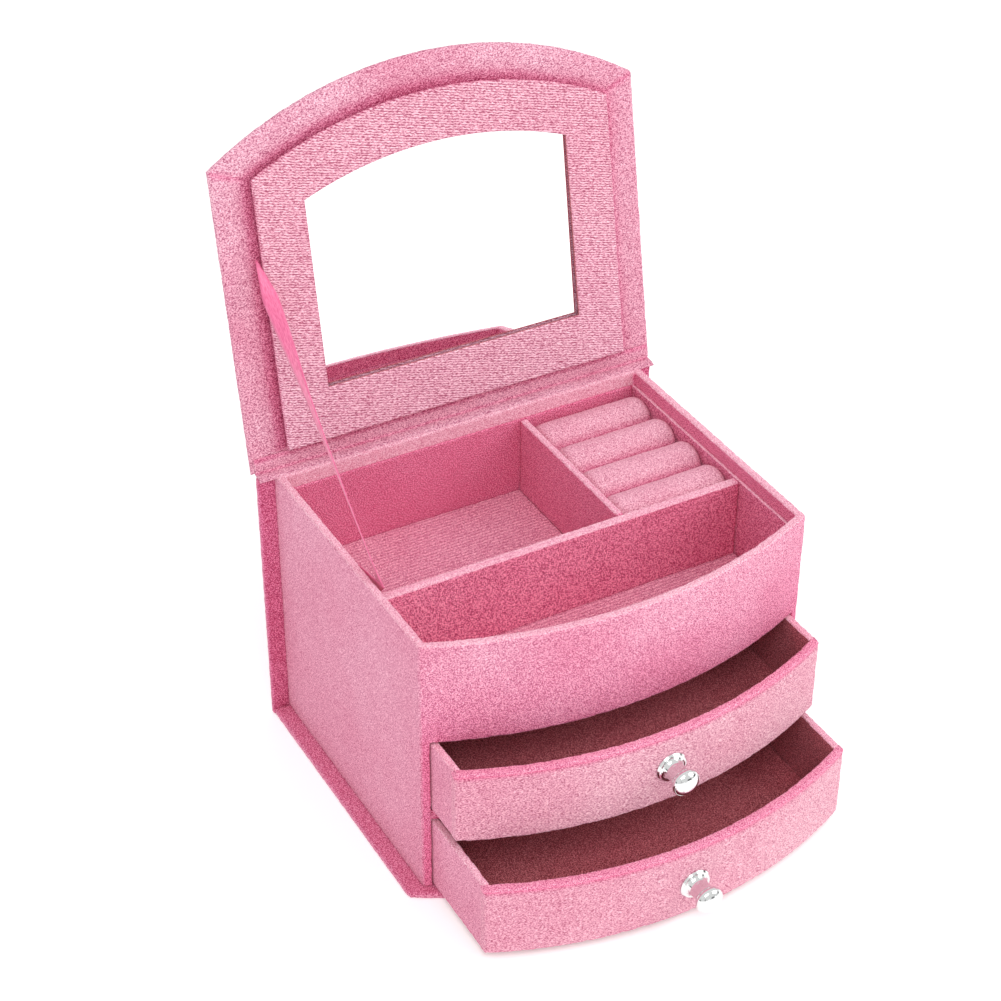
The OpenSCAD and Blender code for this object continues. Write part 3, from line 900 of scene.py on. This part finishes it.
def lid_panel_cover(m, panel, glass, top, bottom):
    """The raised panel round the mirror, its cloth rolled over soft outer edges and a crisp opening."""
    soft, crisp = 1.1 * MM, 0.5 * MM
    opening = glass.grown(-3 * MM)
    seat = bottom + 1.4 * MM
    outer = lid_outline(panel)
    loops = [at_height(lid_outline(opening, 0), seat)]
    loops += [at_height(lid_outline(opening, d), bottom + crisp - up) for d, up in quarter(crisp, 4)]
    start, end = lid_outline(opening, crisp), lid_outline(panel, -soft - PANEL_INSET)
    face_first = len(loops)
    for t in np.linspace(0, 1, 18)[1:-1]:
        loops.append(at_height(between(start, end, t), bottom))
    for loop in loops[face_first:]:
        for i, (x, y, z) in enumerate(loop):
            swell = 0.16 * MM * noise.noise(Vector((x, y, 0)) / (14 * MM))
            loop[i] = (x, y, z + swell)
    edge_first = len(loops)
    for d, up in reversed(quarter(soft)):
        loops.append(at_height(lid_outline(panel, -d - PANEL_INSET), bottom + soft - up))
    side_first = len(loops)
    for t in (0.25, 0.5, 0.75, 1.0):
        inset = PANEL_INSET + (UNDERCUT - PANEL_INSET) * t**1.3
        loops.append(at_height(undercut(panel, inset), bottom + soft + (top - bottom - soft - 0.1 * MM) * t))
    side_last = len(loops)
    roughen(loops, 0.22 * MM, edge_first, side_last)
    loops += [at_height(lid_outline(glass, 0.3 * MM), top), at_height(lid_outline(glass, 0.3 * MM), seat)]
    bm = loops_mesh(loops, ring=True)
    count = len(outer)
    # The wall of the mirror opening takes the dark drawer-inside velvet: painted shade in the gap beside the
    # mirror.
    for face in bm.faces:
        face.material_index = 1 if face.index // count < 2 else 0
    bm.transform(OPEN_LID)
    piece = add_object("lid_panel_cover", bm)
    # Painted shade on the panel's rolled edge and undercut side, deepest under the overhang; less along the
    # hinge side.
    depths = np.zeros((len(loops), count))
    steps = side_first - edge_first
    depths[edge_first:side_first] = (np.linspace(0, 1, steps) ** 2 * 0.6)[:, None]
    depths[side_first:side_last] = np.linspace(0.75, 1, side_last - side_first)[:, None]
    depths[:, HINGE_SIDE:] *= 0.4
    store_painted_shade(piece, depths)
    for key in ("lid", "drawer"):
        piece.data.materials.append(m[key])
    flatten_shading(piece)
    attach(piece, "lid", ["lid_panel_core", "lid_panel_face"])


def lid_mirror(m, glass, bottom):
    """A thin mirror that sits a little deeper at its hinge side than at the top."""
    lean = math.tan(math.radians(0.6))
    front = bottom + 1.42 * MM
    back = glass.high
    far = glass.apex

    def surface(outline, chamfer=0.0):
        return [(x, y, front + chamfer + (y - far) * lean) for x, y in outline]

    edge = 0.35 * MM
    loops = [
        at_height(lid_outline(glass, -0.05 * MM), back), surface(lid_outline(glass, -0.05 * MM), edge),
        surface(lid_outline(glass, -0.05 * MM - edge)),
    ]
    bm = loops_mesh(loops)
    bm.transform(OPEN_LID)
    piece = add_object("mirror_glass", bm)
    for polygon in piece.data.polygons:
        polygon.use_smooth = False
    piece.data.materials.append(m["mirror"])
    attach(piece, "lid", ["mirror"])


def lid_parts(m):
    board, panel = Plan("lid_board", CLOSE_LID), Plan("lid_panel_core", CLOSE_LID)
    face, glass = Plan("lid_panel_face", CLOSE_LID), Plan("mirror", CLOSE_LID)
    lid_cover(m, board, panel)
    lid_panel_cover(m, panel, glass, panel.high, face.low)
    lid_mirror(m, glass, face.low)


def smooth_path(points, steps):
    """Catmull-Rom curve through points, as vectors."""
    points = [Vector(p) for p in points]
    points = [2 * points[0] - points[1]] + points + [2 * points[-1] - points[-2]]
    path = []
    for a, b, c, d in zip(points, points[1:], points[2:], points[3:]):
        for k in range(steps):
            t = k / steps
            path.append(0.5 * (2 * b + (c - a) * t + (2 * a - 5 * b + 4 * c - d) * t * t
                               + (3 * b - a - 3 * c + d) * t ** 3))
    return path + [points[-2]]


def hinge_axes():
    """The lid's hinge, the way up the open lid from it, and the way off the lid's inner face."""
    turn = math.radians(JOINTS["lid_hinge"]["range_deg"][1])
    up = Vector((0, -math.cos(turn), math.sin(turn)))
    off = Vector((0, -math.sin(turn), -math.cos(turn)))
    return Vector(JOINTS["lid_hinge"]["pos_m"]), up, off


def hinge_cloth(m):
    """The strip of velvet from the rear rim up onto the foot of the lid, with a valley at the hinge."""
    pivot, up, off = hinge_axes()
    profile = smooth_path([
        (0, INNER_BACK + 0.8 * MM, RIM - 0.15 * MM), (0, INNER_BACK + 2.6 * MM, RIM + 0.5 * MM),
        (0, BACK + 1.2 * MM, RIM + 0.6 * MM), pivot + up * 0.5 * MM + off * 0.55 * MM,
        pivot + up * 2.2 * MM + off * 0.75 * MM, pivot + up * 4.2 * MM + off * 0.9 * MM,
        pivot + up * 6.3 * MM + off * 0.45 * MM,
    ], 6)
    under = []
    for i, p in enumerate(profile):
        a, b = profile[max(i - 1, 0)], profile[min(i + 1, len(profile) - 1)]
        along = (b - a).normalized()
        under.append(p + Vector((0, along.z, -along.y)) * 0.45 * MM)
    section = profile + under[::-1]
    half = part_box("hinge_cloth")[1].x
    loops = []
    for x in np.linspace(-half, half, 220):
        shift = [0.18 * MM * noise.noise(Vector((x, q.y, q.z)) / (5 * MM)) for q in section]
        loops.append([(x, q.y, q.z + s) for q, s in zip(section, shift)])
    bm = loops_mesh(loops)
    piece = add_object("hinge_cloth_strip", bm)
    piece.data.materials.append(m["border"])
    groove = pivot + off * 0.5 * MM

    # Painted shade in the valley at the hinge and in a band about 5.6 mm up the lid.
    def depth(place):
        along_hinge = math.hypot(place.y - groove.y, place.z - groove.z)
        height = (place - pivot).dot(up)
        return max(0.45 * fade(along_hinge, 0.0, 1.6 * MM), 0.5 * fade(abs(height - 5.6 * MM), 0.0, 2.0 * MM))

    paint_shade(piece, depth)
    length = sum((b - a).length for a, b in zip(profile, profile[1:]))
    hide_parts("hinge_cloth")
    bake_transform(piece)


RIBBON_W, RIBBON_T = 6.0 * MM, 0.3 * MM
RIBBON_TOP = 83 * MM  # distance up the lid from its hinge
RIBBON_X = -74.6 * MM
RIBBON_FOOT = Vector((-74.7, -21.4, 113.4)) * MM
RIBBON_TAIL = Vector((-75.0, -2.0, 111.6)) * MM
RIBBON_TWIST = (  # how far along from the lid, and degrees from edge on
    (0.0, 0.1, 0.2, 0.35, 0.42, 0.55, 0.65, 0.78, 0.92, 1.0),
    (-100, -84, -60, -29, -18, -10, -6, -2, -2, -14),
)
RIBBON_ROWS, TAIL_ROWS = 110, 20  # stations along the free part and the glued tail
RIBBON_SAG = 0.8 * MM
EDGE_ON = math.radians(110)  # turn of the ribbon at which it stands almost edge on to the front left


def ribbon(m):
    """The satin stay: out of the crease beside the panel, twisting a quarter turn down to the left wall."""
    pivot, up, off = hinge_axes()
    top = Vector((RIBBON_X, pivot.y, pivot.z)) + up * RIBBON_TOP + off * 1.2 * MM
    along = (RIBBON_FOOT - top).normalized()
    flat = Vector((1, 0, 0))
    flat = (flat - along * flat.dot(along)).normalized()
    edge = along.cross(flat)
    rows = []
    for i in range(RIBBON_ROWS + 1):
        s = i / RIBBON_ROWS
        angle = EDGE_ON + math.radians(float(np.interp(s, *RIBBON_TWIST)))
        width = flat * math.cos(angle) + edge * math.sin(angle)
        tuck = min(1.0, 0.12 + s / 0.13)
        sag = RIBBON_SAG * 4 * s * (1 - s)
        rows.append((top.lerp(RIBBON_FOOT, s) - Vector((0, 0, sag)), width, RIBBON_W / 2 * tuck))
    lie = (RIBBON_TAIL - RIBBON_FOOT).normalized()
    upright = Vector((0, -lie.z, lie.y))
    last = rows[-1][1]
    for i in range(1, TAIL_ROWS + 1):
        s = i / TAIL_ROWS
        settled = min(1, s * 2.5)
        width = last.slerp(upright if last.dot(upright) > 0 else -upright, settled)
        place = RIBBON_FOOT.lerp(RIBBON_TAIL, s) - Vector((0, 0, 1.2 * MM * settled))
        rows.append((place, width, RIBBON_W / 2 * (1 - 0.45 * s)))
    loops = []
    for i, (place, width, half) in enumerate(rows):
        ahead = rows[min(i + 1, len(rows) - 1)][0] - rows[max(i - 1, 0)][0]
        face = ahead.cross(width).normalized() * RIBBON_T / 2
        across = [-1, -0.5, 0, 0.5, 1]
        near = [place + width * half * a + face for a in across]
        far = [place + width * half * a - face for a in reversed(across)]
        loops.append(near + far)
    piece = add_object("ribbon_stay_satin", loops_mesh(loops))
    piece.data.materials.append(m["satin"])
    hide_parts("ribbon_stay")
    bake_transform(piece)


def dress(name, material):
    node = NODES[name]
    node.data.materials.clear()
    node.data.materials.append(material)


def dress_cad(m):
    """CAD nodes whose shape is already the finished one get their material."""
    for name, key in (("mirror_backing", "foam"), ("drawer_shelf", "inside"), ("tray_floor", "inside")):
        dress(name, m[key])


# ---------------------------------------------------------------- drawers


def drawer(m, which):
    body = f"{which}_drawer"
    plan = Plan(f"{body}_front")
    fold = plan.high - 1.9 * MM
    levels = spaced(plan.low, fold) + spaced(fold, plan.high)[1:]
    bm = band(plan, WALL_T, plan.half, levels)
    for v in bm.verts:
        if abs(v.co.z - fold) < 0.01 * MM and v.co.y < plan.front(abs(v.co.x)) + 0.1 * MM:
            v.co.y += 0.3 * MM * (0.6 + 0.5 * noise.noise(v.co / (6 * MM)))

    def choose(face):
        middle = face.calc_center_median()
        if middle.z > plan.high - 0.5 * MM:
            return 2
        inner = middle.y > plan.front(min(abs(middle.x), plan.half), WALL_T) - 0.9 * MM
        if inner and face.normal.z < 0.6 and abs(middle.x) < plan.half - 1 * MM:
            return 1
        return 2 if middle.z > fold + 0.3 * MM else 0

    # Painted shade along the crease below the turned top edge of the front.
    def depth(place):
        outer = place.y < plan.front(min(abs(place.x), plan.half)) + 1.0 * MM
        return 0.5 * fade(abs(place.z - fold), 0.0, 0.9 * MM) if outer else 0.0

    covered(
        f"{body}_front_cover", bm, [m["drawer_front"], m["drawer"], m["turned"]], body,
        [f"{body}_front"], choose=choose, depth=depth,
    )
    for part, side in (("left_side", -1), ("right_side", 1)):
        lo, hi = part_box(f"{body}_{part}")
        middle_x, top = (lo.x + hi.x) / 2, hi.z

        # Tops take the lighter rim velvet, painted light; inner faces take the dark drawer-inside velvet,
        # painted shade.
        def side_material(face):
            middle = face.calc_center_median()
            if middle.z > top - 0.45 * MM:
                return 2
            return 1 if (middle.x - middle_x) * side > 0.6 * MM else 0

        covered(
            f"{body}_{part}_cover", prism(rectangle(lo.x, hi.x, lo.y, hi.y), spaced(lo.z, hi.z)),
            [m["drawer"], m["side"], m["rim"]], body, [f"{body}_{part}"], radius=0.7 * MM,
            choose=side_material,
        )
    block_cover(f"{body}_back", m["drawer"], 0.7 * MM, body=body, rim=m["rim"])
    for part in ("bottom", "lining"):
        pad = Plan(f"{body}_{part}")
        covered(
            f"{body}_{part}_cover", prism(pad.outline(), spaced(pad.low, pad.high)), [m["drawer"]], body,
            [f"{body}_{part}"], radius=0.3 * MM,
        )
    for part, key in (("knob", "chrome"), ("knob_rosette", "chrome"), ("knob_screw", "steel")):
        dress(f"{which}_{part}", m[key])


# ---------------------------------------------------------------- build

make_camera()
make_light()
MATERIALS = make_materials()
make_floor()
body_shell(MATERIALS)
base_and_back(MATERIALS)
tray_parts(MATERIALS)
ring_rolls(MATERIALS)
lid_parts(MATERIALS)
hinge_cloth(MATERIALS)
ribbon(MATERIALS)
dress_cad(MATERIALS)
drawer(MATERIALS, "upper")
drawer(MATERIALS, "lower")
